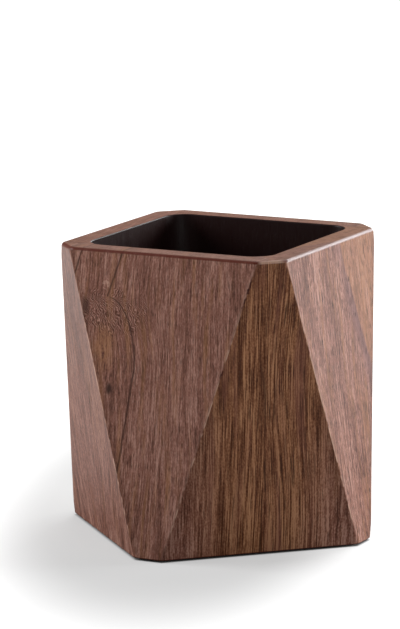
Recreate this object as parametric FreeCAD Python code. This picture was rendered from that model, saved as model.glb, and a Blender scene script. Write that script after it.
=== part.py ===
import FreeCAD, Part
import math
import os

# Faceted walnut pen stand: four mitred boards, cut to eight flat sides, round a square-mouthed bore.
# Millimetres. +Z is up, the origin is on the table under the middle, and the front wall faces -Y.

# ---- Driving dimensions -----------------------------------------------------------------------

# The outside. Each board has a flat side that is wide at the rim and narrow at the foot. Between the
# boards, across the mitres, lie the corner sides, which are narrow at the rim and wide at the foot.
BODY_HEIGHT = 108.2             # foot to rim, without the pads
RIM_WIDTH = 90.0                # over two opposite boards at the rim
RIM_CORNER_SIDE = 10.7          # width of a corner side at the rim
FOOT_WIDTH = 90.0               # over two opposite corner sides at the foot
FOOT_BOARD_SIDE = 10.7          # width of a board's side at the foot

RIM_ROUNDING = 1.4              # outer edge of the rim
MOUTH_ROUNDING = 0.5            # inner edge of the rim
SIDE_ROUNDING = 0.8             # sanded edges between the sides
CORNER_ROUNDING = 4.5           # the same edges where they end, at the rim and the foot
CORNER_REACH = 6.0              # how far up or down an edge its end's rounding runs out
FOOT_ROUNDING = 0.5             # outer edge of the foot

# The bore: a rounded square at the rim that eases to nearly round at the floor.
RIM_WALL = 8.7                  # wood at the middle of each board, at the rim
MOUTH_CORNER_RADIUS = 8.0
FLOOR_FLAT = 4.6                # straight stretch left on each side at the floor

# The floor: a thick disc, glued up from below against a ledge.
FLOOR_THICKNESS = 20.0
FLOOR_RECESS = 1.2              # underside of the floor above the foot, so that it clears the table
FLOOR_WALL = 5.7                # thinnest wood round the disc, at the foot of the corner sides
FLOOR_LEDGE = 3.0               # ledge over the edge of the disc
FLOOR_CLEARANCE = 0.1           # glue room round the disc

# The loose tongues, one across each mitre.
TONGUE_THICKNESS = 2.0
TONGUE_WIDTH = 10.0             # half of it in each board
TONGUE_DEPTH = 4.0              # wood between the tongue's slot and the corner side
TONGUE_RIM_GAP = 12.0           # top of the slot below the rim
TONGUE_FLOOR_GAP = 8.0          # foot of the slot above the floor
TONGUE_CLEARANCE = 0.1          # glue room all round the tongue

# The pads, one under each board.
PAD_DIAMETER = 12.0
PAD_THICKNESS = 2.0
PAD_POCKET_DEPTH = 1.2
PAD_CLEARANCE = 0.1             # room round the pad in its pocket

# ---- Derived dimensions -----------------------------------------------------------------------

FOOT_Z = PAD_THICKNESS - PAD_POCKET_DEPTH
RIM_Z = FOOT_Z + BODY_HEIGHT
FLOOR_UNDERSIDE_Z = FOOT_Z + FLOOR_RECESS
FLOOR_Z = FLOOR_UNDERSIDE_Z + FLOOR_THICKNESS

# The rim and the foot are squares with their corners cut off, and the foot is turned an eighth against
# the rim. Over the cut corners, each measures the square's diagonal less the width of one cut.
DIAGONAL = math.sqrt(2)
RIM_CORNER_WIDTH = RIM_WIDTH * DIAGONAL - RIM_CORNER_SIDE
FOOT_BOARD_WIDTH = FOOT_WIDTH * DIAGONAL - FOOT_BOARD_SIDE

MOUTH_HALF = RIM_WIDTH / 2 - RIM_WALL
SEAT_RADIUS = FOOT_WIDTH / 2 - FLOOR_WALL
FLOOR_HALF = SEAT_RADIUS - FLOOR_LEDGE
FLOOR_CORNER_RADIUS = FLOOR_HALF - FLOOR_FLAT / 2
PAD_CENTRE = (SEAT_RADIUS + FOOT_BOARD_WIDTH / 2) / 2

OVERSHOOT = 5.0                 # how far a cutting tool runs past the wood
REACH = RIM_CORNER_WIDTH + FOOT_BOARD_WIDTH
CENTRE = FreeCAD.Vector(0, 0, 0)
UP = FreeCAD.Vector(0, 0, 1)

WALLS = ("front", "right", "back", "left")
QUARTER_TURN = 90.0
EIGHTH_TURN = 45.0


def turned(shape, degrees):
    """A copy of the shape, turned anticlockwise about the upright centre line."""
    copy = shape.copy()
    copy.rotate(CENTRE, UP, degrees)
    return copy


def octagon(across_boards, across_corners, z):
    """The eight corners of a level outline, anticlockwise from the side that faces +X."""
    apothem = across_boards / 2
    half_side = across_corners / DIAGONAL - apothem
    corners = []
    for quarter in range(4):
        angle = math.radians(quarter * QUARTER_TURN)
        for along in (-half_side, half_side):
            x = apothem * math.cos(angle) - along * math.sin(angle)
            y = apothem * math.sin(angle) + along * math.cos(angle)
            corners.append(FreeCAD.Vector(x, y, z))
    return corners


def outline_at(z):
    """The eight corners of the outside at one height, before rounding."""
    share = (z - FOOT_Z) / BODY_HEIGHT
    rim = octagon(RIM_WIDTH, RIM_CORNER_WIDTH, z)
    foot = octagon(FOOT_BOARD_WIDTH, FOOT_WIDTH, z)
    return [low + (high - low) * share for low, high in zip(foot, rim)]


def flat_face(corners):
    """A flat face with the given corners."""
    return Part.Face(Part.makePolygon(corners + corners[:1]))


def faceted_block():
    """The eight-sided outside of the stand, solid right through, with sharp edges."""
    # Each side is made in three, so that its long edges are cut where the rounding changes.
    levels = (FOOT_Z, FOOT_Z + CORNER_REACH, RIM_Z - CORNER_REACH, RIM_Z)
    outlines = [outline_at(z) for z in levels]
    faces = [flat_face(outlines[-1]), flat_face(outlines[0][::-1])]
    for low, high in zip(outlines, outlines[1:]):
        for side in range(8):
            after = (side + 1) % 8
            faces.append(flat_face([low[side], low[after], high[after], high[side]]))
    skin = Part.makeShell(faces)
    skin.sewShape()
    return Part.makeSolid(skin)


def outer_edge_rounding(edge):
    """The rounding at both ends of one outer edge, by where it lies, or none for a cut in a side."""
    heights = [vertex.Z for vertex in edge.Vertexes]
    near_rim = [height > RIM_Z - CORNER_REACH / 2 for height in heights]
    near_foot = [height < FOOT_Z + CORNER_REACH / 2 for height in heights]
    if all(near_rim):
        return RIM_ROUNDING, RIM_ROUNDING
    if all(near_foot):
        return FOOT_ROUNDING, FOOT_ROUNDING
    if abs(heights[0] - heights[1]) < CORNER_REACH / 2:
        return None
    ends = [rim or foot for rim, foot in zip(near_rim, near_foot)]
    return tuple(CORNER_ROUNDING if end else SIDE_ROUNDING for end in ends)


def rounded_block():
    """The outside with its rim, foot and side edges rounded, each by its own radii."""
    document = FreeCAD.newDocument("stand")
    sharp = document.addObject("Part::Feature", "sharp")
    sharp.Shape = faceted_block()
    rounded = document.addObject("Part::Fillet", "rounded")
    rounded.Base = sharp
    radii = [outer_edge_rounding(edge) for edge in sharp.Shape.Edges]
    rounded.Edges = [(number + 1, *both) for number, both in enumerate(radii) if both]
    document.recompute()
    return rounded.Shape.removeSplitter().Solids[0]


def rounded_square(half, corner_radius, z):
    """The edges of a level square with rounded corners: a straight and an arc for each quarter."""
    straight = half - corner_radius
    reach = straight + corner_radius / DIAGONAL
    edges = []
    for quarter in range(4):
        start = FreeCAD.Vector(half, -straight, z)
        corner = FreeCAD.Vector(half, straight, z)
        middle = FreeCAD.Vector(reach, reach, z)
        end = FreeCAD.Vector(straight, half, z)
        edges.append(turned(Part.LineSegment(start, corner).toShape(), quarter * QUARTER_TURN))
        edges.append(turned(Part.Arc(corner, middle, end).toShape(), quarter * QUARTER_TURN))
    return edges


def space_between(low, high):
    """The solid between two rounded squares: flat faces on its sides, ruled ones round its corners."""
    faces = [Part.Face(Part.Wire(low)), Part.Face(Part.Wire(high))]
    for number, (below, above) in enumerate(zip(low, high)):
        if number % 2 == 0:
            left, right = [edge.valueAt(edge.FirstParameter) for edge in (below, above)]
            faces.append(flat_face([left, below.valueAt(below.LastParameter),
                                    above.valueAt(above.LastParameter), right]))
        else:
            faces.append(Part.makeRuledSurface(below, above))
    skin = Part.makeShell(faces)
    skin.sewShape()
    return Part.makeSolid(skin)


def bore_cutter():
    """The hollow of the cup, with a straight run past the rim."""
    floor = rounded_square(FLOOR_HALF, FLOOR_CORNER_RADIUS, FLOOR_Z)
    mouth = rounded_square(MOUTH_HALF, MOUTH_CORNER_RADIUS, RIM_Z)
    above = rounded_square(MOUTH_HALF, MOUTH_CORNER_RADIUS, RIM_Z + OVERSHOOT)
    return space_between(floor, mouth).fuse(space_between(mouth, above))


def upright_cylinder(radius, bottom, top, x=0.0):
    """A cylinder between two heights, on the centre line or set off from it along X."""
    return Part.makeCylinder(radius, top - bottom, FreeCAD.Vector(x, 0, bottom), UP)


def hollow_block():
    """The four boards as one ring: rounded outside, bored, and with its mouth edge eased."""
    ring = rounded_block().cut(bore_cutter())
    mouth_edges = []
    for edge in ring.Edges:
        level = all(abs(vertex.Z - RIM_Z) < MOUTH_ROUNDING / 10 for vertex in edge.Vertexes)
        inner = max(abs(edge.CenterOfMass.x), abs(edge.CenterOfMass.y)) < MOUTH_HALF + RIM_WALL / 4
        if level and inner:
            mouth_edges.append(edge)
    ring = ring.makeFillet(MOUTH_ROUNDING, mouth_edges)
    return ring.cut(upright_cylinder(SEAT_RADIUS, FOOT_Z - OVERSHOOT, FLOOR_Z))


def tongue(clearance):
    """The tongue across the mitre at +X, larger all round by the clearance."""
    # It lies flat behind the corner side and leans with it, so it is cut from a slab between two planes.
    top = RIM_Z - TONGUE_RIM_GAP - TONGUE_CLEARANCE + clearance
    bottom = FLOOR_Z + TONGUE_FLOOR_GAP + TONGUE_CLEARANCE - clearance
    lean = (RIM_CORNER_WIDTH - FOOT_WIDTH) / 2 / BODY_HEIGHT
    square_off = math.sqrt(1 + lean * lean)
    outer = FOOT_WIDTH / 2 - (TONGUE_DEPTH + TONGUE_CLEARANCE - clearance) * square_off
    inner = outer - (TONGUE_THICKNESS + 2 * clearance) * square_off
    half_width = TONGUE_WIDTH / 2 + clearance
    profile = []
    for distance, z in ((inner, bottom), (outer, bottom), (outer, top), (inner, top)):
        profile.append(FreeCAD.Vector(distance + lean * (z - FOOT_Z), -half_width, z))
    return flat_face(profile).extrude(FreeCAD.Vector(0, 2 * half_width, 0))


def quarter_wedge():
    """The space that one board takes up between its two mitres, on the +X side."""
    corners = [
        FreeCAD.Vector(0, 0, -OVERSHOOT),
        FreeCAD.Vector(REACH, -REACH, -OVERSHOOT),
        FreeCAD.Vector(REACH, REACH, -OVERSHOOT),
    ]
    return flat_face(corners).extrude(FreeCAD.Vector(0, 0, RIM_Z + 2 * OVERSHOOT))


def wall_board(ring, angle):
    """One board of the ring, slotted for its two tongues and pocketed for its pad."""
    board = ring.common(turned(quarter_wedge(), angle))
    for side in (-EIGHTH_TURN, EIGHTH_TURN):
        board = board.cut(turned(tongue(TONGUE_CLEARANCE), angle + side))
    pocket_radius = PAD_DIAMETER / 2 + PAD_CLEARANCE
    pocket = upright_cylinder(pocket_radius, FOOT_Z - OVERSHOOT, FOOT_Z + PAD_POCKET_DEPTH, PAD_CENTRE)
    return board.cut(turned(pocket, angle)).Solids[0]


def floor_disc():
    """The turned floor, which shows inside the bore and stops short of the table."""
    return upright_cylinder(SEAT_RADIUS - FLOOR_CLEARANCE, FLOOR_UNDERSIDE_Z, FLOOR_Z)


def pad():
    """The pad under the board on the +X side."""
    return upright_cylinder(PAD_DIAMETER / 2, 0.0, PAD_THICKNESS, PAD_CENTRE)


def stand_pieces():
    """Every piece of the stand by name."""
    ring = hollow_block()
    pieces = {"floor_disc": floor_disc()}
    for number, name in enumerate(WALLS):
        angle = (number - 1) * QUARTER_TURN
        pieces[name + "_wall"] = wall_board(ring, angle)
        pieces[name + "_pad"] = turned(pad(), angle)
    corners = ("front_right", "back_right", "back_left", "front_left")
    for number, name in enumerate(corners):
        pieces[name + "_tongue"] = turned(tongue(0.0), (number - 0.5) * QUARTER_TURN)
    return pieces


os.makedirs("parts", exist_ok=True)
for node, shape in stand_pieces().items():
    shape.exportStep("parts/" + node + ".step")
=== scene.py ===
"""Studio scene of a faceted walnut pen stand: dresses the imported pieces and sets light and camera."""

from __future__ import annotations

import logging
import math
from dataclasses import dataclass, field
from enum import Enum
from typing import Any, Union

import bmesh
import bpy
from mathutils import Matrix, Vector

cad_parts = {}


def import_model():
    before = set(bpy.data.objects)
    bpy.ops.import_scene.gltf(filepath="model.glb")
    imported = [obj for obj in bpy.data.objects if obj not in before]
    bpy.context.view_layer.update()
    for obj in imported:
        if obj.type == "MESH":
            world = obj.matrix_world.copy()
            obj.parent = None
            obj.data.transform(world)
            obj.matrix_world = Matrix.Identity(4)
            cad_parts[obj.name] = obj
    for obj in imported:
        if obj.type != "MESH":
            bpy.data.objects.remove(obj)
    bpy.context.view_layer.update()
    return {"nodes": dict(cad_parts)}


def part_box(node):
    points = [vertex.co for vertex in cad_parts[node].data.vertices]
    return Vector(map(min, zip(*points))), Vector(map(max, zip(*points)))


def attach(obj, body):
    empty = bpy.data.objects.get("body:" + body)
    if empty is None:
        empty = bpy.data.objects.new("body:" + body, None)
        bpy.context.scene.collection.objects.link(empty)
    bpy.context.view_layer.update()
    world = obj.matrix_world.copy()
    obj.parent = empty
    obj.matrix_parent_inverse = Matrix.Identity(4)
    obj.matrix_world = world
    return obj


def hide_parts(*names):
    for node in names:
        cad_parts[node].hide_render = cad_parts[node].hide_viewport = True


LOG = logging.getLogger("pen_stand")

MM = 0.001

# Sizes that the finishes share with the wood, in millimetres.
RIM_Z = 109.0
FLOOR_TOP_Z = 22.0
MOUTH_HALF = 36.3
RIM_HALF_SIDE = 37.4
FOOT_HALF_SIDE = 5.35
MOUTH_CORNER_RADIUS = 8.0
FLOOR_CORNER_RADIUS = 34.0

Colour = tuple[float, float, float]
Span = tuple[float, float]
Nodes = dict[str, bpy.types.Object]
Socket = bpy.types.NodeSocket


def srgb(red: int, green: int, blue: int) -> Colour:
    """Turns a colour written as 0 to 255 in sRGB into linear light.

    Args:
        red: Red, 0 to 255.
        green: Green, 0 to 255.
        blue: Blue, 0 to 255.

    Returns:
        The linear colour.
    """

    def linear(value: int) -> float:
        """Returns one channel in linear light."""
        part = value / 255
        return part / 12.92 if part <= 0.04045 else ((part + 0.055) / 1.055) ** 2.4

    return linear(red), linear(green), linear(blue)


# ---- Shader bench ----


class Wire:
    """A number that varies over a surface: wraps a socket, so that maths reads as Python."""

    def __init__(self, bench: Bench, socket: Socket) -> None:
        """Wraps an output socket of a node that stands on the bench."""
        self.bench = bench
        self.socket = socket

    def _math(self, operation: str, *values: Number, clamp: bool = False) -> Wire:
        """Adds one Math node.

        Args:
            operation: The Math node's operation.
            values: Its inputs, in order.
            clamp: Whether the result is kept within 0 and 1.

        Returns:
            The node's result.
        """
        settings = {"operation": operation, "use_clamp": clamp}
        node = self.bench.node("ShaderNodeMath", settings, dict(enumerate(values)))
        return Wire(self.bench, node.outputs[0])

    def __add__(self, other: Number) -> Wire:
        """Returns self + other."""
        return self._math("ADD", self, other)

    __radd__ = __add__

    def __sub__(self, other: Number) -> Wire:
        """Returns self - other."""
        return self._math("SUBTRACT", self, other)

    def __rsub__(self, other: Number) -> Wire:
        """Returns other - self."""
        return self._math("SUBTRACT", other, self)

    def __mul__(self, other: Number) -> Wire:
        """Returns self * other."""
        return self._math("MULTIPLY", self, other)

    __rmul__ = __mul__

    def __truediv__(self, other: Number) -> Wire:
        """Returns self / other."""
        return self._math("DIVIDE", self, other)

    def __rtruediv__(self, other: Number) -> Wire:
        """Returns other / self."""
        return self._math("DIVIDE", other, self)

    def __abs__(self) -> Wire:
        """Returns self without its sign."""
        return self._math("ABSOLUTE", self)

    def root(self) -> Wire:
        """Returns the square root."""
        return self._math("SQRT", self)

    def sign(self) -> Wire:
        """Returns 1 or -1, as self is above or below 0."""
        return self._math("SIGN", self)

    def sine(self) -> Wire:
        """Returns the sine, with self in radians."""
        return self._math("SINE", self)

    def fraction(self) -> Wire:
        """Returns what is left above the whole number."""
        return self._math("FRACT", self)

    def at_least(self, other: Number) -> Wire:
        """Returns the larger of self and other."""
        return self._math("MAXIMUM", self, other)

    def at_most(self, other: Number) -> Wire:
        """Returns the smaller of self and other."""
        return self._math("MINIMUM", self, other)

    def clamped(self) -> Wire:
        """Returns self kept within 0 and 1."""
        return self._math("ADD", self, 0.0, clamp=True)

    def smooth(self, low: float, high: float) -> Wire:
        """Eases from 0 at low to 1 at high; low may be the larger, which turns it round.

        Args:
            low: Where the result is 0.
            high: Where the result is 1.

        Returns:
            The eased value.
        """
        flipped = low > high
        first, last = (high, low) if flipped else (low, high)
        inputs = {"Value": self, "From Min": first, "From Max": last,
                  "To Min": float(flipped), "To Max": float(not flipped)}
        node = self.bench.node("ShaderNodeMapRange", {"interpolation_type": "SMOOTHSTEP"}, inputs)
        return Wire(self.bench, node.outputs[0])


Number = Union[Wire, float]
Point = tuple[Wire, Wire, Wire]


class Bench:
    """A node tree of any sort while it is being laid out."""

    def __init__(self, tree: bpy.types.NodeTree) -> None:
        """Clears the tree that the nodes go into."""
        self.tree = tree
        tree.nodes.clear()

    def node(self, kind: str, settings: dict[str, Any] | None = None,
             inputs: dict[Any, Any] | None = None) -> bpy.types.Node:
        """Adds any node.

        Args:
            kind: The node's type.
            settings: Its properties, which are set first. The stops of a ramp are a list of
                (position, colour) under "stops".
            inputs: Values, wires or sockets for its inputs, by name or number.

        Returns:
            The node.
        """
        node = self.tree.nodes.new(kind)
        for key, value in (settings or {}).items():
            if key == "stops":
                self._set_stops(node.color_ramp, value)
            else:
                setattr(node, key, value)
        for key, value in (inputs or {}).items():
            if isinstance(value, Wire):
                value = value.socket
            if isinstance(value, Socket):
                self.tree.links.new(value, node.inputs[key])
            else:
                node.inputs[key].default_value = value
        return node

    @staticmethod
    def _set_stops(ramp: bpy.types.ColorRamp, stops: list[tuple[float, Colour]]) -> None:
        """Fills a colour ramp.

        Args:
            ramp: The ramp of a Color Ramp node.
            stops: Position and colour of each stop, in rising order.
        """
        while len(ramp.elements) < len(stops):
            ramp.elements.new(1.0)
        for element, (position, colour) in zip(ramp.elements, stops):
            element.position = position
            element.color = (*colour, 1.0)


@dataclass(frozen=True)
class Cloud:
    """A noise with blotches of one size in each direction, in millimetres.

    A seed shifts it in the direction that is seeded, 0 to 2, and strength is for layers of clouds.
    """

    size: tuple[float, float, float]
    detail: float = 1.0
    roughness: float = 0.5
    seeded: int | None = None
    strength: float = 1.0


def streak(width: float, length: float, strength: float = 1.0, detail: float = 0.0) -> Cloud:
    """Returns streaks of a width and length in millimetres, nine times as deep as they are wide."""
    return Cloud((width, width * 9, length), detail, roughness=0.7, seeded=0, strength=strength)


class ShaderBench(Bench):
    """The node tree of one material, or of the world."""

    def __init__(self, owner: bpy.types.Material | bpy.types.World) -> None:
        """Gives the owner an empty tree.

        Args:
            owner: The material or world that the nodes belong to.
        """
        self.owner = owner
        owner.use_nodes = True
        super().__init__(owner.node_tree)

    @classmethod
    def material(cls, name: str) -> ShaderBench:
        """Returns a bench for a new material of this name."""
        return cls(bpy.data.materials.new(name))

    def place(self, turn: float = 0.0) -> Socket:
        """Returns the point in millimetres, turned by degrees anticlockwise from above."""
        inputs = {"Vector": self.node("ShaderNodeTexCoord").outputs["Object"],
                  "Rotation": (0.0, 0.0, math.radians(turn)), "Scale": (1 / MM,) * 3}
        return self.node("ShaderNodeMapping", {"vector_type": "POINT"}, inputs).outputs[0]

    def split(self, vector: Socket) -> Point:
        """Returns the three numbers of a vector."""
        outputs = self.node("ShaderNodeSeparateXYZ", None, {0: vector}).outputs
        return Wire(self, outputs[0]), Wire(self, outputs[1]), Wire(self, outputs[2])

    def join(self, x: Number, y: Number, z: Number) -> Socket:
        """Returns a vector of three numbers."""
        return self.node("ShaderNodeCombineXYZ", None, {0: x, 1: y, 2: z}).outputs[0]

    def noise(self, vector: Socket, detail: float, roughness: float = 0.5) -> Wire:
        """Returns noise near 0.5, with features a unit wide and finer layers of that roughness."""
        inputs = {"Vector": vector, "Scale": 1.0, "Detail": detail, "Roughness": roughness}
        return Wire(self, self.node("ShaderNodeTexNoise", {"noise_dimensions": "3D"}, inputs).outputs["Fac"])

    def cloud(self, cloud: Cloud, point: Point, seed: float = 0.0) -> Wire:
        """Reads a cloud at a point.

        Args:
            cloud: The cloud.
            point: The point in millimetres.
            seed: How far the cloud is shifted.

        Returns:
            A value near 0.5, within 0 and 1.
        """
        place = [part / size for part, size in zip(point, cloud.size)]
        if cloud.seeded is not None:
            place[cloud.seeded] = place[cloud.seeded] + seed
        return self.noise(self.join(*place), cloud.detail, cloud.roughness)

    def ramp(self, value: Wire, stops: list[tuple[float, Colour]]) -> Socket:
        """Returns the colour that a value of 0 to 1 has on a ramp of (position, colour) stops."""
        return self.node("ShaderNodeValToRGB", {"stops": stops}, {0: value}).outputs["Color"]

    def blend(self, factor: Number, first: Any, second: Any, how: str = "MIX") -> Socket:
        """Mixes two colours.

        Args:
            factor: How much of the second colour shows.
            first: A colour or a colour socket.
            second: A colour or a colour socket.
            how: The Mix node's blend type.

        Returns:
            A colour socket.
        """
        colours = [(*c, 1.0) if isinstance(c, tuple) else c for c in (first, second)]
        inputs = {0: factor, 6: colours[0], 7: colours[1]}
        return self.node("ShaderNodeMix", {"data_type": "RGBA", "blend_type": how}, inputs).outputs[2]

    def bump(self, height: Wire, depth: float, strength: float = 1.0) -> Socket:
        """Returns the normal of a relief, where a height of 1 stands for depth in millimetres."""
        inputs = {"Height": height, "Distance": depth * MM, "Strength": strength}
        return self.node("ShaderNodeBump", None, inputs).outputs[0]

    def finish(self, inputs: dict[str, Any]) -> bpy.types.Material:
        """Ends the material in a Principled shader.

        Args:
            inputs: The shader's inputs.

        Returns:
            The material.
        """
        shader = self.node("ShaderNodeBsdfPrincipled", None, inputs)
        self.node("ShaderNodeOutputMaterial", None, {"Surface": shader.outputs[0]})
        return self.owner


# ---- Finishes ----


class Side(Enum):
    """The side that a board faces, with its direction in degrees from +X."""

    FRONT = -90.0
    RIGHT = 0.0
    BACK = 90.0
    LEFT = 180.0


@dataclass(frozen=True)
class Patch:
    """A soft-edged oval on a board's face, in millimetres across and up the board."""

    across: float
    height: float
    half_width: float
    half_height: float

    def reach(self, across: Wire, height: Wire) -> Wire:
        """How far out a point lies: 0 at the middle and 1 on the edge.

        Args:
            across: The point's place across the board.
            height: Its height.

        Returns:
            The reach.
        """
        over_x = (across - self.across) / self.half_width
        over_z = (height - self.height) / self.half_height
        return (over_x * over_x + over_z * over_z).root()


@dataclass(frozen=True)
class KnotMarks:
    """The marks of a grown-over knot: the growth line round it, and what lies near it."""

    swell: Patch = Patch(-21.3, 68.0, 12.3, 24.5)
    line_turns_at: float = 92.0
    line_lean: float = 0.33
    line_fall: float = 0.13
    line_foot: Span = (14.0, 34.0)
    heart: Patch = Patch(-18.6, 59.8, 1.35, 2.4)
    shadow: Patch = Patch(-17.4, 54.0, 1.5, 3.8)
    bud: Patch = Patch(-29.6, 88.6, 1.9, 3.4)
    scar: Patch = Patch(-21.6, 96.6, 1.5, 1.9)
    stroke_at: float = -34.4
    stroke_height: float = 100.0
    stroke_lean: float = 0.3
    stroke_foot: Span = (98.0, 101.0)
    honey: Patch = Patch(-21.6, 75.0, 5.0, 9.0)
    curls: Patch = Patch(-18.0, 87.0, 14.5, 9.5)
    reach_of_bend: float = 24.0
    ridge_pitch: float = 0.95
    ripple: Cloud = Cloud((4.0, 4.0, 6.0), 2.0)
    swirl: Cloud = Cloud((2.1, 2.1, 2.1))
    grit: Cloud = Cloud((0.7, 0.7, 0.7), 0.0)


@dataclass(frozen=True)
class Figure:
    """What is particular to one board: its wood, and the painted shade and light on it. Millimetres in the
    board's own directions.
    """

    seed: float
    ring_tilt: float
    sapwood_from: float
    contrast: float = 1.4
    pores: float = 0.55
    golden_side: float = 0.0
    # How much painted shade darkens the upper part of the plain slanted facets.
    painted_upper_shade: float = 0.0
    torn_at: tuple[float, ...] = ()
    edge_gloss: float = 0.15
    end_gloss: float = 0.0
    # How much painted light makes the board paler towards the foot.
    painted_foot_light: float = 0.0
    vein_at: float = 0.0
    vein_lean: float = 0.0
    knot: KnotMarks | None = None


@dataclass(frozen=True)
class Walnut:
    """Oiled walnut with upright grain, painted nearly black inside the bore as shade. Millimetres.

    A pair of heights says where something starts to show and where it shows fully.
    """

    dark: Colour = srgb(83, 50, 38)
    brown: Colour = srgb(127, 84, 71)
    light: Colour = srgb(166, 126, 112)
    slant_dark: Colour = srgb(77, 42, 23)
    slant_brown: Colour = srgb(127, 82, 56)
    slant_light: Colour = srgb(172, 124, 90)
    tone_stops: tuple[float, ...] = (0.1, 0.5, 0.9)
    rosy: Colour = srgb(122, 78, 66)
    # Pale wood for the knot's scar, also laid on as painted highlight beside the edges, at the rim's golden
    # corner and, with wear, on the creases.
    worn: Colour = srgb(206, 168, 148)
    honey: Colour = srgb(150, 104, 66)
    sapwood: Colour = srgb(156, 108, 72)
    border: Colour = srgb(98, 66, 68)
    # Tint multiplied in as painted shade, on the upper flats and beside the long edges.
    painted_shade_tint: Colour = srgb(198, 188, 177)
    end_grain: Colour = srgb(100, 69, 51)
    # Painted shade on the rounding under the rim.
    rounding: Colour = srgb(86, 32, 18)
    tear: Colour = srgb(52, 12, 6)
    pore: Colour = srgb(45, 23, 13)
    # Painted shade inside the bore.
    bore_shade: Colour = srgb(31, 15, 14)
    roughness: float = 0.36
    end_roughness: float = 0.34
    sheen: float = 0.12
    coat_roughness: float = 0.4
    relief_depth: float = 0.05
    bore_edge: float = 0.25
    bore_edge_blur: float = 0.07

    drift: Cloud = Cloud((50.0, 50.0, 90.0), 0.0, seeded=0)
    drift_reach: float = 7.0
    waver: Cloud = Cloud((8.0, 8.0, 24.0), seeded=1)
    waver_reach: float = 1.1
    broad: Cloud = Cloud((6.0, 7.0, 75.0), seeded=0)
    layers: Cloud = Cloud((0.8, 14.0, 30.0), 2.0, 0.7, seeded=1)
    dots: Cloud = Cloud((0.4, 0.4, 9.0), roughness=0.8)
    rosy_patches: Cloud = Cloud((3.5, 20.0, 60.0), seeded=2)
    tint_patches: Cloud = Cloud((2.6, 12.0, 34.0), seeded=0)
    # Patches of the painted highlights and wear beside the edges and on the creases.
    wear_and_highlight_cloud: Cloud = Cloud((9.0, 9.0, 4.0), seeded=0)
    splinters: Cloud = Cloud((2.0, 2.0, 2.0), seeded=1)

    grit: tuple[Cloud, ...] = (streak(0.3, 0.8, 0.36),)
    upright: tuple[Cloud, ...] = (
        streak(0.38, 2.4, 0.4), streak(0.45, 10.0, 0.6), streak(1.1, 16.0, 0.34, 1.0),
        streak(3.2, 50.0, 0.3, 1.0))
    aslant: tuple[Cloud, ...] = (
        streak(0.36, 3.4, 0.42), streak(0.38, 28.0, 1.15), streak(0.9, 90.0, 0.45, 1.0),
        streak(3.0, 160.0, 0.34))
    short_pores: tuple[Cloud, ...] = (streak(0.3, 3.2),)
    long_pores: tuple[Cloud, ...] = (streak(0.33, 12.0),)
    plain_stripes: float = 0.35

    golden_from: Span = (8.0, 28.0)
    # The painted foot light shows over these heights.
    foot_light_heights: Span = (58.0, 12.0)
    border_heights: Span = (100.0, 76.0)
    vein_heights: Span = (78.0, 62.0)
    # Over these heights show the painted shade on the upper flats, the painted shade beside the edges, the
    # patches of painted highlight and wear, and the painted highlight on the creases.
    upper_shade_heights: Span = (38.0, 86.0)
    shade_heights: Span = (88.0, 55.0)
    wear_and_highlight_heights: Span = (7.0, 13.0)
    crease_highlight_heights: Span = (102.0, 70.0)


@dataclass
class BoardPoint:
    """Where a point lies in its board, as wires in millimetres, and how the face cuts the grain."""

    depth: Wire
    across: Wire
    height: Wire
    slant: Wire
    crease: Wire
    end: Wire
    brow: Wire

    @property
    def place(self) -> Point:
        """The point's place in the board."""
        return self.depth, self.across, self.height


@dataclass
class Grain:
    """How the grain runs through a point: places in the grown wood, and what shows there."""

    along: Wire
    inward: Wire
    rings: Wire
    over: Wire
    under: Wire
    golden: Wire
    broad: Wire
    fibre: Wire
    pores: Wire
    tone: Wire


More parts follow.
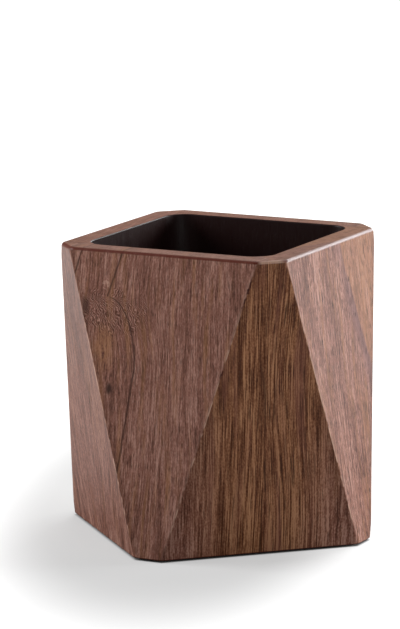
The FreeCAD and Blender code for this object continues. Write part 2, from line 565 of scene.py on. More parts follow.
@dataclass
class BoardWood:
    """The wood of one board while its material is being laid out."""

    walnut: Walnut
    name: str
    side: Side
    figure: Figure

    def __post_init__(self) -> None:
        """Starts the material and works out the board's grain."""
        self.bench = ShaderBench.material(self.name)
        self.at = self.locate(self.side)
        self.marks = {} if self.figure.knot is None else self.knot_marks(self.figure.knot)
        self.grain = self.run_grain()
        self.plain_slant = self.at.slant - self.grain.golden

    def bore_distance(self) -> Wire:
        """Measures how far a point lies outside the bore's wall.

        Returns:
            The distance in millimetres, negative within the bore.
        """
        x, y, z = self.bench.split(self.bench.place())
        rise = ((z - FLOOR_TOP_Z) / (RIM_Z - FLOOR_TOP_Z)).clamped()
        radius = FLOOR_CORNER_RADIUS - rise * (FLOOR_CORNER_RADIUS - MOUTH_CORNER_RADIUS)
        straight = MOUTH_HALF - radius
        over_x = (abs(x) - straight).at_least(0.0)
        over_y = (abs(y) - straight).at_least(0.0)
        return (over_x * over_x + over_y * over_y).root() - radius

    def locate(self, side: Side) -> BoardPoint:
        """Finds the point and the cut of the face in the board's own directions.

        Args:
            side: The side that the board faces.

        Returns:
            The point.
        """
        bench = self.bench
        depth, across, height = bench.split(bench.place(-side.value))
        normal = bench.node("ShaderNodeNewGeometry").outputs["Normal"]
        way_x, way_y, way_z = bench.split(normal)
        turn = math.radians(side.value)
        facing = abs(way_x * math.cos(turn) + way_y * math.sin(turn))

        # How far the face turns aside or up tells flats, roundings and end grain apart.
        end = abs(way_z).smooth(0.55, 0.95)
        off = 1.0 - facing
        slant = off.smooth(0.06, 0.22) * (1.0 - end)
        brow = abs(way_z).smooth(0.16, 0.4) * abs(way_z).smooth(0.99, 0.85)
        crease = off.smooth(0.02, 0.08) * off.smooth(0.285, 0.2) * (1.0 - brow)
        return BoardPoint(depth, across, height, slant, crease, end, brow)

    def knot_marks(self, knot: KnotMarks) -> dict[str, Wire]:
        """Works out the marks round a grown-over knot.

        Args:
            knot: The knot's marks.

        Returns:
            Masks named line, dark, scar, honey and curls, the fibre in the curls as ridges, and
            the sideways bend of the grain.
        """
        bench, at = self.bench, self.at
        ripple = bench.cloud(knot.ripple, at.place) - 0.5
        rise = at.height - knot.swell.height
        over_z = (rise / knot.swell.half_height).at_least(0.0)
        swell = (1.0 - over_z * over_z).at_least(0.0)
        bulge = swell.root() * knot.swell.half_width
        lean = (at.height - knot.line_turns_at).at_least(0.0) * knot.line_lean
        fall = rise.at_most(0.0) * knot.line_fall
        off = at.across - (bulge + knot.swell.across + lean + fall + ripple * 1.2)
        line = abs(off).smooth(0.55, 0.15) * at.height.smooth(*knot.line_foot)
        stroke = at.across - knot.stroke_at - (at.height - knot.stroke_height) * knot.stroke_lean
        stroke = stroke + ripple
        stroke = abs(stroke).smooth(0.5, 0.1) * at.height.smooth(*knot.stroke_foot)
        swirl = bench.cloud(knot.swirl, at.place) - 0.5
        grit = bench.cloud(knot.grit, at.place)
        ridges = ((off + swirl * 3.2) * (2 * math.pi / knot.ridge_pitch)).sine()
        heart = (knot.heart.reach(at.across, at.height) + ripple * 0.8).smooth(1.5, 0.4)
        shadow = (knot.shadow.reach(at.across, at.height) + ripple).smooth(1.3, 0.2) * 0.45
        bud = (knot.bud.reach(at.across, at.height) + ripple).smooth(1.3, 0.3) * 0.7
        near = abs(off).smooth(knot.reach_of_bend, 0.0)
        return {
            "line": line.at_least(stroke),
            "dark": heart.at_least(shadow).at_least(bud),
            "scar": (knot.scar.reach(at.across, at.height) + abs(swirl) * 9).smooth(1.6, 0.7),
            "honey": (knot.honey.reach(at.across, at.height) + ripple).smooth(1.3, 0.4),
            "curls": (knot.curls.reach(at.across, at.height) + ripple * 1.4).smooth(1.15, 0.55),
            "ridges": 0.44 + ridges * (grit - 0.2) * 0.9,
            "bend": (swell * swell * knot.swell.half_width + lean + fall) * near * 0.3,
        }

    def streaks(self, layers: tuple[Cloud, ...], sideways: Wire, deep: Wire) -> Wire:
        """Adds up layers of streaks that run up the board.

        Args:
            layers: The layers.
            sideways: The point's place across the streaks.
            deep: Its place into the wood.

        Returns:
            A value about 0.
        """
        total: Number = 0.0
        for layer in layers:
            cloud = self.bench.cloud(layer, (sideways, deep, self.at.height), self.figure.seed)
            total = (cloud - 0.5) * layer.strength + total
        return total

    def run_grain(self) -> Grain:
        """Works out how the grain runs through the board.

        Returns:
            The grain.
        """
        bench, at, walnut, figure = self.bench, self.at, self.walnut, self.figure

        # The grain wanders a little sideways as it rises.
        wander = (bench.cloud(walnut.drift, at.place, figure.seed) - 0.5) * walnut.drift_reach
        across = at.across + wander
        inward = at.depth + wander * 0.5
        if self.marks:
            across = across - self.marks["bend"]
        along = across + (bench.cloud(walnut.waver, at.place, figure.seed) - 0.5) * walnut.waver_reach

        # Growth layers lie nearly along the board's face.
        tilt = math.radians(figure.ring_tilt)
        rings = inward * math.cos(tilt) + along * math.sin(tilt)
        broad = bench.cloud(walnut.broad, (rings, along, at.height), figure.seed)

        # On the board's face the fibres show as short dashes, and as long stripes where a
        # facet cuts the board aslant. On the end grain they are dots.
        turned = at.across.sign() * inward
        over = (across - turned) * math.sqrt(0.5)
        under = (across + turned) * math.sqrt(0.5)
        upright = self.streaks(walnut.upright, along, inward)
        aslant = self.streaks(walnut.aslant, over, under)
        golden = at.slant * (at.across * figure.golden_side).smooth(*walnut.golden_from)
        striped = golden + (at.slant - golden) * walnut.plain_stripes
        fibre = upright + (aslant - upright) * striped + self.streaks(walnut.grit, along, inward) + 0.5
        layers = bench.cloud(walnut.layers, (rings, along, at.height), figure.seed)
        dots = bench.cloud(walnut.dots, (inward, along, at.height))
        fibre = fibre + (layers * 0.7 + dots * 0.45 - 0.09 - fibre) * at.end
        pore_short = self.streaks(walnut.short_pores, along, inward)
        pore_long = self.streaks(walnut.long_pores, over, under)
        pores = (pore_short + (pore_long - pore_short) * striped).smooth(0.09, 0.24)
        if self.marks:
            fibre = fibre + (self.marks["ridges"] - fibre) * self.marks["curls"]

        contrast = figure.contrast * (1.0 + (at.slant - golden) * 0.3)
        tone = 0.5 + (broad - 0.5) * 0.5 + (fibre - 0.5) * contrast
        # Painted light: a board with a foot light is made paler towards the foot.
        tone = (tone + at.height.smooth(*walnut.foot_light_heights) * figure.painted_foot_light).clamped()
        return Grain(along, inward, rings, over, under, golden, broad, fibre, pores, tone)

    def ground(self) -> Socket:
        """Colours the wood by its grain, with its sapwood and pores.

        Returns:
            The colour.
        """
        bench, at, walnut, figure, grain = self.bench, self.at, self.walnut, self.figure, self.grain
        flat, cut = (
            bench.ramp(grain.tone, list(zip(walnut.tone_stops, tones)))
            for tones in ((walnut.dark, walnut.brown, walnut.light),
                          (walnut.slant_dark, walnut.slant_brown, walnut.slant_light)))
        base = bench.blend(grain.golden, flat, cut)
        rosy = bench.cloud(walnut.rosy_patches, (grain.over, grain.under, at.height), figure.seed)
        base = bench.blend(rosy.smooth(0.45, 0.75) * grain.golden * 0.5, base, walnut.rosy)
        tint = bench.cloud(walnut.tint_patches, (grain.along, grain.inward, at.height), figure.seed)
        plain = 1.0 - grain.golden - self.plain_slant * 0.6
        base = bench.blend(tint.smooth(0.5, 0.75) * plain * 0.4, base, walnut.honey)

        beyond = figure.sapwood_from - grain.rings - (grain.broad - 0.5) * 1.5
        sapwood = beyond.smooth(-0.3, 0.3) * (1.0 - at.slant)
        border = beyond.smooth(-3.4, -0.3) * beyond.smooth(0.3, -0.3) * (1.0 - at.slant)
        border = border * (0.4 + at.height.smooth(*walnut.border_heights) * 0.25)
        base = bench.blend(sapwood * tint.smooth(0.8, 0.35) * 0.5, base, walnut.sapwood)
        base = bench.blend(border, base, walnut.border)
        return bench.blend(grain.pores * (figure.pores - self.plain_slant * 0.2), base, walnut.pore)

    def mark(self, base: Socket) -> Socket:
        """Adds the knot, the vein, the mitre's line, the end grain and the painted shade on the upper part
        of the plain slanted facets.

        Args:
            base: The colour so far.

        Returns:
            The colour with the marks.
        """
        bench, at, walnut, figure, grain = self.bench, self.at, self.walnut, self.figure, self.grain
        if self.marks:
            honey = self.marks["honey"] * grain.tone.smooth(0.1, 0.6)
            for mask, strength, colour in (
                    (honey, 0.55, walnut.honey), (self.marks["scar"], 0.38, walnut.worn),
                    (self.marks["line"], 0.72, walnut.pore), (self.marks["dark"], 0.9, walnut.pore)):
                base = bench.blend(mask * strength, base, colour)
        if figure.vein_at:
            vein = abs(grain.along - figure.vein_at - at.height * figure.vein_lean).smooth(0.55, 0.1)
            base = bench.blend(vein * at.height.smooth(*walnut.vein_heights) * 0.6, base, walnut.pore)
        joint = abs(at.depth - abs(at.across)).smooth(0.14, 0.03)
        base = bench.blend(joint * 0.35, base, walnut.pore)
        base = bench.blend(at.end * 0.4, base, walnut.end_grain)
        # Painted shade: the plain slanted facets grow darker towards the top.
        painted_upper_shade = self.plain_slant * at.height.smooth(*walnut.upper_shade_heights) * figure.painted_upper_shade
        return bench.blend(painted_upper_shade, base, walnut.painted_shade_tint, "MULTIPLY")

    def edge_light_and_tears(self, base: Socket) -> Socket:
        """Paints shade and highlights beside the long edges, on the creases and on the rounding under the
        rim, and tears the golden edge.

        Args:
            base: The colour so far.

        Returns:
            The colour with the painted shade and highlights and the tears.
        """
        bench, at, walnut, figure = self.bench, self.at, self.walnut, self.figure
        golden_way = at.across * figure.golden_side
        edge_at = FOOT_HALF_SIDE + (RIM_HALF_SIDE - FOOT_HALF_SIDE) / RIM_Z * at.height
        past = golden_way - edge_at
        past_other = at.across * -figure.golden_side - edge_at

        # Next to each long edge the wood is painted darker on one side, as shade, and paler on the other, as
        # a highlight.
        shade = past.smooth(5.5, 0.5) * past.smooth(-0.1, 0.3)
        shade = shade * at.height.smooth(*walnut.shade_heights) * 0.5
        shade = shade.at_least(past_other.smooth(-4.0, -0.4) * past_other.smooth(0.3, -0.1) * 0.6)
        base = bench.blend(shade, base, walnut.painted_shade_tint, "MULTIPLY")
        wear_and_highlight_patches = bench.cloud(walnut.wear_and_highlight_cloud, at.place, figure.seed).smooth(0.4, 0.58)
        wear_and_highlight_patches = wear_and_highlight_patches * at.height.smooth(*walnut.wear_and_highlight_heights)
        edge_highlight = past.smooth(-1.1, -0.5) * past.smooth(0.1, -0.2)
        edge_highlight = edge_highlight.at_least(past_other.smooth(1.1, 0.5) * past_other.smooth(-0.1, 0.2))
        # The golden corner of the rim, where the rounding is painted pale as a highlight.
        corner = golden_way.smooth(RIM_HALF_SIDE - 0.5, RIM_HALF_SIDE + 1.2)
        # Painted highlight with wear: a pale line along each crease, fading out below the top.
        crease = at.crease * wear_and_highlight_patches * at.height.smooth(*walnut.crease_highlight_heights)
        # Blends in the painted highlight beside the edges, the painted shade on the rim's rounding, the
        # painted highlight on that rounding at the golden corner, and the crease line of painted highlight
        # and wear.
        for mask, strength, colour in (
                (edge_highlight * (wear_and_highlight_patches * 0.6 + 0.4), 0.2, walnut.worn),
                (at.brow * (1.0 - corner), 0.9, walnut.rounding),
                (at.brow * corner, 0.55, walnut.worn), (crease, 0.8, walnut.worn)):
            base = bench.blend(mask * strength, base, colour)

        # Along the golden facet's edge the wood is torn in a few places.
        ragged = bench.cloud(walnut.splinters, at.place, figure.seed) - 0.5
        for torn_at in figure.torn_at:
            torn = (abs(at.height - torn_at) + ragged * 5).smooth(1.9, 0.4)
            torn = torn * (abs(past - 0.1) + ragged * 1.6).smooth(0.5, 0.12)
            base = bench.blend(torn * 0.9, base, walnut.tear)
        return base

    def material(self) -> bpy.types.Material:
        """Finishes the board's material, with painted shade inside the bore.

        Returns:
            The material.
        """
        bench, at, walnut, figure = self.bench, self.at, self.walnut, self.figure
        fibre, pores = self.grain.fibre, self.grain.pores
        base = self.edge_light_and_tears(self.mark(self.ground()))
        edge = bench.noise(bench.place(), 2.0) - 0.5
        # Painted shade: inside the bore the wood is coloured nearly black.
        outside = self.bore_distance() + edge * 0.1
        bore_shaded = outside.smooth(
            walnut.bore_edge + walnut.bore_edge_blur, walnut.bore_edge - walnut.bore_edge_blur)
        gloss = at.brow * outside.smooth(2.0, 4.0) * figure.edge_gloss + at.end * figure.end_gloss
        rough = walnut.roughness + (fibre - 0.5) * 0.25 + pores * 0.15 + at.end * walnut.end_roughness
        return bench.finish({
            "Base Color": bench.blend(bore_shaded, base, walnut.bore_shade),
            "Roughness": rough,
            "Specular IOR Level": walnut.sheen,
            "Coat Weight": gloss,
            "Coat Roughness": walnut.coat_roughness,
            "Normal": bench.bump(fibre * 0.5 - pores * 0.9, walnut.relief_depth, 0.6),
        })


@dataclass(frozen=True)
class ShadedTopDisc:
    """The turned floor: painted nearly black on top as shade inside the cup, bare walnut underneath."""

    # Painted shade on the disc's top, inside the cup.
    bore_shade: Colour = srgb(34, 21, 20)
    worn: Colour = srgb(60, 41, 35)
    bare: Colour = srgb(126, 90, 68)
    bare_dark: Colour = srgb(84, 56, 40)
    roughness: float = 0.6
    grain_turn: float = 24.0
    grain: Cloud = Cloud((14.0, 1.1, 1.1), 4.0, 0.6)
    patches: Cloud = Cloud((30.0, 8.0, 8.0), 2.0)
    turning_pitch: float = 0.8

    def material(self, name: str) -> bpy.types.Material:
        """Makes the disc's finish.

        Args:
            name: The material's name.

        Returns:
            The material.
        """
        bench = ShaderBench.material(name)
        x, y, z = bench.split(bench.place(self.grain_turn))
        grain = bench.cloud(self.grain, (x, y, z))
        patches = bench.cloud(self.patches, (x, y, z))
        radius = (x * x + y * y).root()
        turning = abs((radius / self.turning_pitch).fraction() - 0.5)
        top = z.smooth(FLOOR_TOP_Z - 1.0, FLOOR_TOP_Z - 0.2)
        bare = bench.ramp((grain * 0.7 + patches * 0.5 - 0.1).clamped(),
                          [(0.3, self.bare_dark), (0.7, self.bare)])
        # On top, inside the cup, the disc is painted nearly black as shade.
        dark = bench.blend(grain.smooth(0.4, 0.75) * 0.6, self.bore_shade, self.worn)
        return bench.finish({
            "Base Color": bench.blend(top, bare, dark),
            "Roughness": self.roughness + (grain - 0.5) * 0.2,
            "Normal": bench.bump(turning * 0.6 + grain * 0.4, 0.03, 0.5),
        })


@dataclass(frozen=True)
class Plywood:
    """Thin birch plywood, as the loose tongues are sawn from."""

    face: Colour = srgb(206, 176, 134)
    dark: Colour = srgb(150, 112, 74)
    roughness: float = 0.7
    layers_turn: float = 45.0
    grain: Cloud = Cloud((1.0, 1.0, 18.0), 3.0, 0.6)
    layers: Cloud = Cloud((0.66, 40.0, 60.0), 0.0)

    def material(self, name: str) -> bpy.types.Material:
        """Makes the plywood.

        Args:
            name: The material's name.

        Returns:
            The material.
        """
        bench = ShaderBench.material(name)
        point = bench.split(bench.place(self.layers_turn))
        grain = bench.cloud(self.grain, point)
        layers = bench.cloud(self.layers, point)
        tone = (grain * 0.6 + layers * 0.5 - 0.05).clamped()
        return bench.finish({
            "Base Color": bench.ramp(tone, [(0.3, self.dark), (0.62, self.face)]),
            "Roughness": self.roughness,
            "Normal": bench.bump(grain, 0.04, 0.5),
        })


@dataclass(frozen=True)
class Rubber:
    """Matt black anti-slip rubber."""

    black: Colour = srgb(34, 34, 36)
    dusty: Colour = srgb(62, 61, 62)
    roughness: float = 0.82
    speckles: Cloud = Cloud((0.18, 0.18, 0.18), 2.0)
    dust: Cloud = Cloud((2.5, 2.5, 2.5), 2.0)

    def material(self, name: str) -> bpy.types.Material:
        """Makes the rubber.

        Args:
            name: The material's name.

        Returns:
            The material.
        """
        bench = ShaderBench.material(name)
        point = bench.split(bench.place())
        speckle = bench.cloud(self.speckles, point)
        dust = bench.cloud(self.dust, point)
        return bench.finish({
            "Base Color": bench.blend(dust.smooth(0.4, 0.75) * 0.6, self.black, self.dusty),
            "Roughness": self.roughness + (speckle - 0.5) * 0.15,
            "Normal": bench.bump(speckle, 0.03, 0.5),
        })


# ---- Pieces ----


def add(name: str, data: bpy.types.ID) -> bpy.types.Object:
    """Makes an object of a mesh, lamp or camera and puts it into the scene.

    Args:
        name: The object's name.
        data: What it shows.

    Returns:
        The object.
    """
    thing = bpy.data.objects.new(name, data)
    bpy.context.scene.collection.objects.link(thing)
    return thing


def dress(piece: bpy.types.Object, material: bpy.types.Material) -> None:
    """Gives a piece one material in every slot.

    Args:
        piece: A mesh object.
        material: Its material.
    """
    if not piece.material_slots:
        piece.data.materials.append(material)
    for slot in piece.material_slots:
        slot.material = material
    LOG.info("dressed %s in %s", piece.name, material.name)


@dataclass
class WallBoards:
    """The four mitred boards of the cup."""

    walnut: Walnut = field(default_factory=Walnut)
    figures: dict[Side, Figure] = field(default_factory=lambda: {
        Side.FRONT: Figure(seed=3.7, ring_tilt=-14.0, sapwood_from=20.0, golden_side=1.0,
                           painted_upper_shade=0.55, end_gloss=0.12, torn_at=(101.3, 98.4, 94.8, 69.0), vein_at=31.5,
                           vein_lean=0.059, knot=KnotMarks()),
        Side.RIGHT: Figure(seed=11.3, ring_tilt=-19.8, sapwood_from=40.2, contrast=1.6, pores=0.8,
                           golden_side=-1.0, edge_gloss=0.55, painted_foot_light=0.09),
        Side.BACK: Figure(seed=23.9, ring_tilt=12.0, sapwood_from=28.0, golden_side=1.0),
        Side.LEFT: Figure(seed=37.1, ring_tilt=9.0, sapwood_from=28.0, golden_side=-1.0, painted_upper_shade=0.55),
    })

    def build(self, nodes: Nodes) -> None:
        """Dresses each board in its own figure of walnut.

        Args:
            nodes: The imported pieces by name.
        """
        for side, figure in self.figures.items():
            word = side.name.lower()
            wood = BoardWood(self.walnut, word + "_walnut", side, figure)
            dress(nodes[word + "_wall"], wood.material())


@dataclass
class CupFloor:
    """The thick turned disc that closes the bore."""

    finish: ShadedTopDisc = field(default_factory=ShadedTopDisc)

    def build(self, nodes: Nodes) -> None:
        """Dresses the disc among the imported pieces."""
        dress(nodes["floor_disc"], self.finish.material("shaded_top_floor"))


@dataclass
class MitreTongues:
    """The four loose tongues that are hidden in the mitres."""

    plywood: Plywood = field(default_factory=Plywood)
    corners: tuple[str, ...] = ("front_right", "back_right", "back_left", "front_left")

    def build(self, nodes: Nodes) -> None:
        """Dresses the tongues.

        Args:
            nodes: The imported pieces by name.
        """
        material = self.plywood.material("birch_plywood")
        for corner in self.corners:
            dress(nodes[corner + "_tongue"], material)


class StudPress(Bench):
    """The Geometry Nodes tree that presses rows of small studs into a pad's face."""

    INPUTS = {
        "Pad": "NodeSocketGeometry", "Centre": "NodeSocketVector", "Reach": "NodeSocketFloat",
        "Rows": "NodeSocketInt", "Stud Radius": "NodeSocketFloat", "Stud Height": "NodeSocketFloat",
        "Rubber": "NodeSocketMaterial",
    }

    def __init__(self) -> None:
        """Lays out the whole tree."""
        super().__init__(bpy.data.node_groups.new("stud_press", "GeometryNodeTree"))
        sockets = self.tree.interface
        for name, kind in self.INPUTS.items():
            sockets.new_socket(name, in_out="INPUT", socket_type=kind)
        sockets.new_socket("Studded Pad", in_out="OUTPUT", socket_type="NodeSocketGeometry")
        given = self.node("NodeGroupInput").outputs
        width = Wire(self, given["Reach"]) * 2.0
        grid = self.node("GeometryNodeMeshGrid", None, {
            "Size X": width, "Size Y": width, "Vertices X": given["Rows"], "Vertices Y": given["Rows"]})
        place = self.node("GeometryNodeInputPosition").outputs[0]
        length = self.node("ShaderNodeVectorMath", {"operation": "LENGTH"}, {0: place}).outputs["Value"]
        outside = self.node("FunctionNodeCompare", {"data_type": "FLOAT", "operation": "GREATER_THAN"},
                            {0: length, 1: given["Reach"]})
        rows = self.node("GeometryNodeDeleteGeometry", {"domain": "POINT"},
                         {"Geometry": grid.outputs["Mesh"], "Selection": outside.outputs[0]})
        ball = self.node("GeometryNodeMeshIcoSphere", None,
                         {"Radius": given["Stud Radius"], "Subdivisions": 2})
        flat = Wire(self, given["Stud Height"]) / Wire(self, given["Stud Radius"])
        scale = self.node("ShaderNodeCombineXYZ", None, {0: 1.0, 1: 1.0, 2: flat})
        studs = self.node("GeometryNodeInstanceOnPoints", None, {
            "Points": rows.outputs[0], "Instance": ball.outputs["Mesh"], "Scale": scale.outputs[0]})
        placed = self.node("GeometryNodeTransform", None,
                           {"Geometry": studs.outputs[0], "Translation": given["Centre"]})
        both = self.node("GeometryNodeJoinGeometry")
        for part in (given["Pad"], placed.outputs[0]):
            self.tree.links.new(part, both.inputs[0])
        real = self.node("GeometryNodeRealizeInstances", None, {0: both.outputs[0]})
        coated = self.node("GeometryNodeSetMaterial", None,
                           {"Geometry": real.outputs[0], "Material": given["Rubber"]})
        self.node("NodeGroupOutput", None, {0: coated.outputs[0]})

    def press(self, pad: bpy.types.Object, values: dict[str, Any]) -> bpy.types.Mesh:
        """Runs the tree on one pad.

        Args:
            pad: The smooth pad.
            values: The tree's inputs by name.

        Returns:
            A plain mesh of the pad with its studs.
        """
        modifier = pad.modifiers.new("studs", "NODES")
        modifier.node_group = self.tree
        for item in self.tree.interface.items_tree:
            if item.item_type == "SOCKET" and item.in_out == "INPUT" and item.name in values:
                modifier[item.identifier] = values[item.name]
        pad.update_tag()
        shaped = pad.evaluated_get(bpy.context.evaluated_depsgraph_get())
        mesh = bpy.data.meshes.new_from_object(shaped)
        pad.modifiers.remove(modifier)
        return mesh


@dataclass
class FootPads:
    """The four anti-slip pads under the boards: a raised ring round rows of studs. Millimetres."""

    rubber: Rubber = field(default_factory=Rubber)
    ring_width: float = 0.8
    face_depth: float = 0.18
    edge_radius: float = 0.3
    stud_rows: int = 8
    stud_radius: float = 0.36
    stud_margin: float = 0.7
    sharp_angle: float = 40.0
    steps: int = 72
    edge_steps: int = 4

    def profile(self, radius: float, thickness: float) -> list[Span]:
        """Draws half of a pad's section, from the middle of its face round to the middle of its back.

        Args:
            radius: The pad's radius.
            thickness: Its thickness.

        Returns:
            Points of (distance from the axis, height).
        """
        edge = self.edge_radius
        inner = radius - edge - self.ring_width

        # The ring's inner side falls to the face in a soft S, and its edges are quarter rounds.
        points = [(inner - 0.2, self.face_depth), (inner - 0.05, self.face_depth * 0.8),
                  (inner + 0.08, self.face_depth * 0.2), (inner + 0.2, 0.0)]
        for middle, start in (((radius - edge, edge), -90), ((radius - edge, thickness - edge), 0)):
            for step in range(self.edge_steps + 1):
                turn = math.radians(start + 90.0 / self.edge_steps * step)
                points.append((middle[0] + edge * math.cos(turn), middle[1] + edge * math.sin(turn)))
        return points

    def mould(self, name: str, centre: Vector, radius: float, thickness: float) -> bpy.types.Object:
        """Makes a smooth pad without studs.

        Args:
            name: The object's name.
            centre: The middle of the pad's face.
            radius: The pad's radius.
            thickness: Its thickness.

        Returns:
            The pad, with its place in its mesh.
        """
        shape = bmesh.new()
        rings = []
        for reach, height in self.profile(radius, thickness):
            turns = (2 * math.pi * step / self.steps for step in range(self.steps))
            rings.append([shape.verts.new((centre.x + reach * MM * math.cos(turn),
                                           centre.y + reach * MM * math.sin(turn),
                                           centre.z + height * MM)) for turn in turns])
        for lower, upper in zip(rings, rings[1:]):
            for step in range(self.steps):
                after = (step + 1) % self.steps
                shape.faces.new((lower[step], lower[after], upper[after], upper[step]))
        shape.faces.new(rings[0])
        shape.faces.new(rings[-1])
        bmesh.ops.recalc_face_normals(shape, faces=shape.faces)
        mesh = bpy.data.meshes.new(name)
        shape.to_mesh(mesh)
        shape.free()
        return add(name, mesh)

    def build(self, nodes: Nodes) -> None:
        """Makes each pad in the place of its plain one.

        Args:
            nodes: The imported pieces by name.
        """
        material = self.rubber.material("pad_rubber")
        press = StudPress()
        for side in Side:
            plain = side.name.lower() + "_pad"
            low, high = (Vector(corner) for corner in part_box(plain))
            centre = Vector(((low.x + high.x) / 2, (low.y + high.y) / 2, low.z))
            radius, thickness = (high.x - low.x) / 2 / MM, (high.z - low.z) / MM
            pad = self.mould(side.name.lower() + "_studded_pad", centre, radius, thickness)
            pad.data = press.press(pad, {
                "Centre": centre + Vector((0.0, 0.0, self.face_depth * MM)),
                "Reach": (radius - self.edge_radius - self.ring_width - self.stud_margin) * MM,
                "Rows": self.stud_rows,
                "Stud Radius": self.stud_radius * MM,
                "Stud Height": self.face_depth * MM,
                "Rubber": material,
            })
            pad.data.shade_smooth()
            pad.data.set_sharp_from_angle(angle=math.radians(self.sharp_angle))
            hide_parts(plain)
            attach(pad, "root")
            LOG.info("made %s with %d faces", pad.name, len(pad.data.polygons))


# ---- Studio ----


@dataclass
class StudioCamera:
    """A long lens that looks slightly down on the stand's front right corner."""

    stand_off: float = 1.5555
    aim_height: float = 0.0545
    place_turn: float = 26.524
    place_rise: float = 11.697
    look_turn: float = 26.788
    look_fall: float = 10.791
    roll: float = -0.385
    sensor: float = 36.0
    focal_pixels: float = 4259.7
    frame_pixels: float = 629.0
    clip: Span = (0.05, 20.0)

    def build(self) -> None:
        """Makes the camera and gives it to the scene."""
        turn, rise = math.radians(self.place_turn), math.radians(self.place_rise)
        place = Vector((math.sin(turn) * math.cos(rise), -math.cos(turn) * math.cos(rise), math.sin(rise)))
        place = place * self.stand_off + Vector((0.0, 0.0, self.aim_height))
        turn, fall, roll = (math.radians(a) for a in (self.look_turn, self.look_fall, self.roll))
        ahead = Vector((-math.sin(turn) * math.cos(fall), math.cos(turn) * math.cos(fall), -math.sin(fall)))
        level = Vector((math.cos(turn), math.sin(turn), 0.0))
        upright = level.cross(ahead)
        right = level * math.cos(roll) + upright * math.sin(roll)
        up = upright * math.cos(roll) - level * math.sin(roll)
        data = bpy.data.cameras.new("studio_camera")
        data.sensor_fit = "VERTICAL"
        data.sensor_height = self.sensor
        data.lens = self.focal_pixels / self.frame_pixels * self.sensor
        data.clip_start, data.clip_end = self.clip
        camera = add("studio_camera", data)
        turned = Matrix((right, up, -ahead)).transposed().to_4x4()
        camera.matrix_world = Matrix.Translation(place) @ turned
        bpy.context.scene.camera = camera
        LOG.info("camera %.0f mm at %s", data.lens, tuple(round(v, 3) for v in place))


@dataclass(frozen=True)
class SoftBox:
    """One rectangular lamp, aimed at the stand. Degrees and metres."""

    name: str
    turn: float
    rise: float
    distance: float
    width: float
    height: float
    power: float

    def build(self, aim: Vector) -> None:
        """Makes the lamp.

        Args:
            aim: The point that it faces.
        """
        turn, rise = math.radians(self.turn), math.radians(self.rise)
        way = Vector((math.cos(turn) * math.cos(rise), math.sin(turn) * math.cos(rise), math.sin(rise)))
        data = bpy.data.lights.new(self.name, "AREA")
        data.shape = "RECTANGLE"
        data.size = self.width
        data.size_y = self.height
        data.energy = self.power
        lamp = add(self.name, data)
        lamp.location = aim + way * self.distance
        lamp.rotation_euler = way.to_track_quat("Z", "Y").to_euler()
        LOG.info("lamp %s, %.1f W", self.name, self.power)


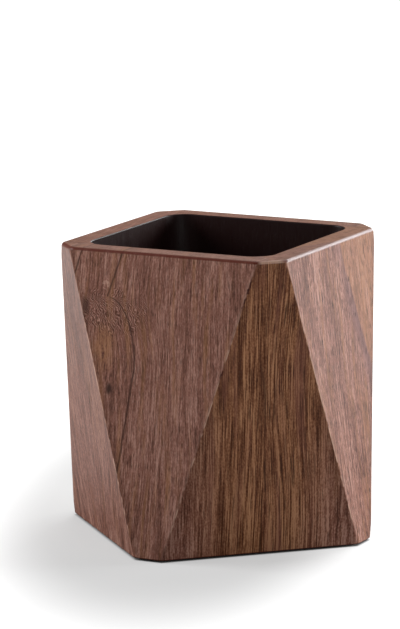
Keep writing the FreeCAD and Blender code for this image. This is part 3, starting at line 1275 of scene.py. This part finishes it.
@dataclass
class Studio:
    """A white table in a white room, with soft lamps from both sides."""

    room_light: float = 0.11
    gloss_light: float = 0.22
    floor_half: float = 4.0
    floor_lift: float = 0.455
    seen_grey: float = 0.27
    open_grey: float = 0.42
    # Grey of the floor's painted pool of shade, for the light it throws back.
    shade_pool_grey: float = 0.19
    foot_half: float = 45.0
    foot_corner: float = 58.2
    foot_blur: Span = (-1.4, 0.4)
    # Turn, centre and reach in millimetres, and soft edge, of the painted pool of shade round the stand.
    shade_pool_turn: float = 23.8
    shade_pool_centre: Span = (-17.5, 32.0)
    shade_pool_reach: Span = (46.0, 125.0)
    shade_pool_edge: Span = (1.0, 1.95)
    near_gloss: float = 0.16
    far_gloss: float = 0.54
    aim: Vector = field(default_factory=lambda: Vector((0.0, 0.0, 0.055)))
    lamps: tuple[SoftBox, ...] = (
        SoftBox("top_lamp", turn=98.0, rise=55.0, distance=1.2, width=0.8, height=0.8, power=8.8),
        SoftBox("rim_lamp", turn=79.0, rise=17.0, distance=1.3, width=0.89, height=0.5, power=14.0),
        SoftBox("right_lamp", turn=36.0, rise=9.0, distance=1.3, width=0.6, height=0.5, power=18.0),
        SoftBox("front_lamp", turn=322.0, rise=18.0, distance=1.5, width=0.9, height=0.7, power=3.4),
        SoftBox("fill_lamp", turn=250.0, rise=12.0, distance=1.5, width=0.9, height=0.6, power=2.7),
        SoftBox("left_lamp", turn=200.0, rise=24.0, distance=0.8, width=0.4, height=0.35, power=5.7),
    )

    def room(self) -> None:
        """Sets the world: plain light for the object, and white where the camera sees it."""
        bench = ShaderBench(bpy.data.worlds.new("white_room"))
        bpy.context.scene.world = bench.owner
        path = bench.node("ShaderNodeLightPath").outputs
        seen = Wire(bench, path["Is Camera Ray"]) + Wire(bench, path["Is Transmission Ray"])
        gloss = Wire(bench, path["Is Glossy Ray"]) * (self.gloss_light - self.room_light)
        strength = seen * (1.0 - self.room_light) + gloss + self.room_light
        white = {"Color": (1.0, 1.0, 1.0, 1.0), "Strength": strength}
        background = bench.node("ShaderNodeBackground", None, white)
        bench.node("ShaderNodeOutputWorld", None, {"Surface": background.outputs[0]})

    def floor(self) -> None:
        """Makes the table top: white to the camera outside an oval pool of painted shade round the stand,
        greyer inside it, where the stand's own shadow shows too.
        """
        half = self.floor_half
        mesh = bpy.data.meshes.new("table_top")
        corners = [(-half, -half, 0.0), (half, -half, 0.0), (half, half, 0.0), (-half, half, 0.0)]
        mesh.from_pydata(corners, [], [(0, 1, 2, 3)])
        floor = add("table_top", mesh)
        bench = ShaderBench.material("white_table")
        path = bench.node("ShaderNodeLightPath").outputs
        camera = Wire(bench, path["Is Camera Ray"])
        mirrored = Wire(bench, path["Is Glossy Ray"]) + Wire(bench, path["Is Transmission Ray"])
        x, y, _ = bench.split(bench.place())
        radius = (x * x + y * y).root()
        # An oval pool round the stand is painted as shade: inside it the floor is greyer to the camera and
        # throws back less light, and outside it shows white.
        turn = math.radians(self.shade_pool_turn)
        aside = (x * math.cos(turn) + y * math.sin(turn) - self.shade_pool_centre[0]) / self.shade_pool_reach[0]
        behind = (y * math.cos(turn) - x * math.sin(turn) - self.shade_pool_centre[1]) / self.shade_pool_reach[1]
        outside_shade_pool = (aside * aside + behind * behind).root().smooth(*self.shade_pool_edge)
        slanted = (abs(x) + abs(y)) * math.sqrt(0.5) - self.foot_half
        straight = abs(x).at_least(abs(y)) - self.foot_corner
        clear = slanted.at_least(straight).smooth(*self.foot_blur)
        grey = self.shade_pool_grey + outside_shade_pool * (self.open_grey - self.shade_pool_grey)
        grey = grey + camera * (self.seen_grey - grey)
        paper = bench.node("ShaderNodeBsdfDiffuse", None, {"Color": grey})
        shown = camera * clear * (self.floor_lift + outside_shade_pool * (1.0 - self.floor_lift))
        glow = shown + mirrored * radius.smooth(self.near_gloss / MM, self.far_gloss / MM)
        lift = bench.node("ShaderNodeEmission", None, {"Strength": glow})
        both = bench.node("ShaderNodeAddShader", None, {0: paper.outputs[0], 1: lift.outputs[0]})
        bench.node("ShaderNodeOutputMaterial", None, {"Surface": both.outputs[0]})
        floor.data.materials.append(bench.owner)

    def build(self) -> None:
        """Makes room, floor and lamps, and sets the plain view transform."""
        bpy.context.scene.view_settings.view_transform = "Standard"
        self.room()
        self.floor()
        for lamp in self.lamps:
            lamp.build(self.aim)


def main() -> None:
    """Builds the scene and reports each piece."""
    logging.basicConfig(level=logging.INFO, format="%(name)s: %(message)s")
    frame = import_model()
    StudioCamera().build()
    Studio().build()
    nodes = frame["nodes"]
    for part in (WallBoards(), CupFloor(), MitreTongues(), FootPads()):
        part.build(nodes)


if __name__ == "__main__":
    main()
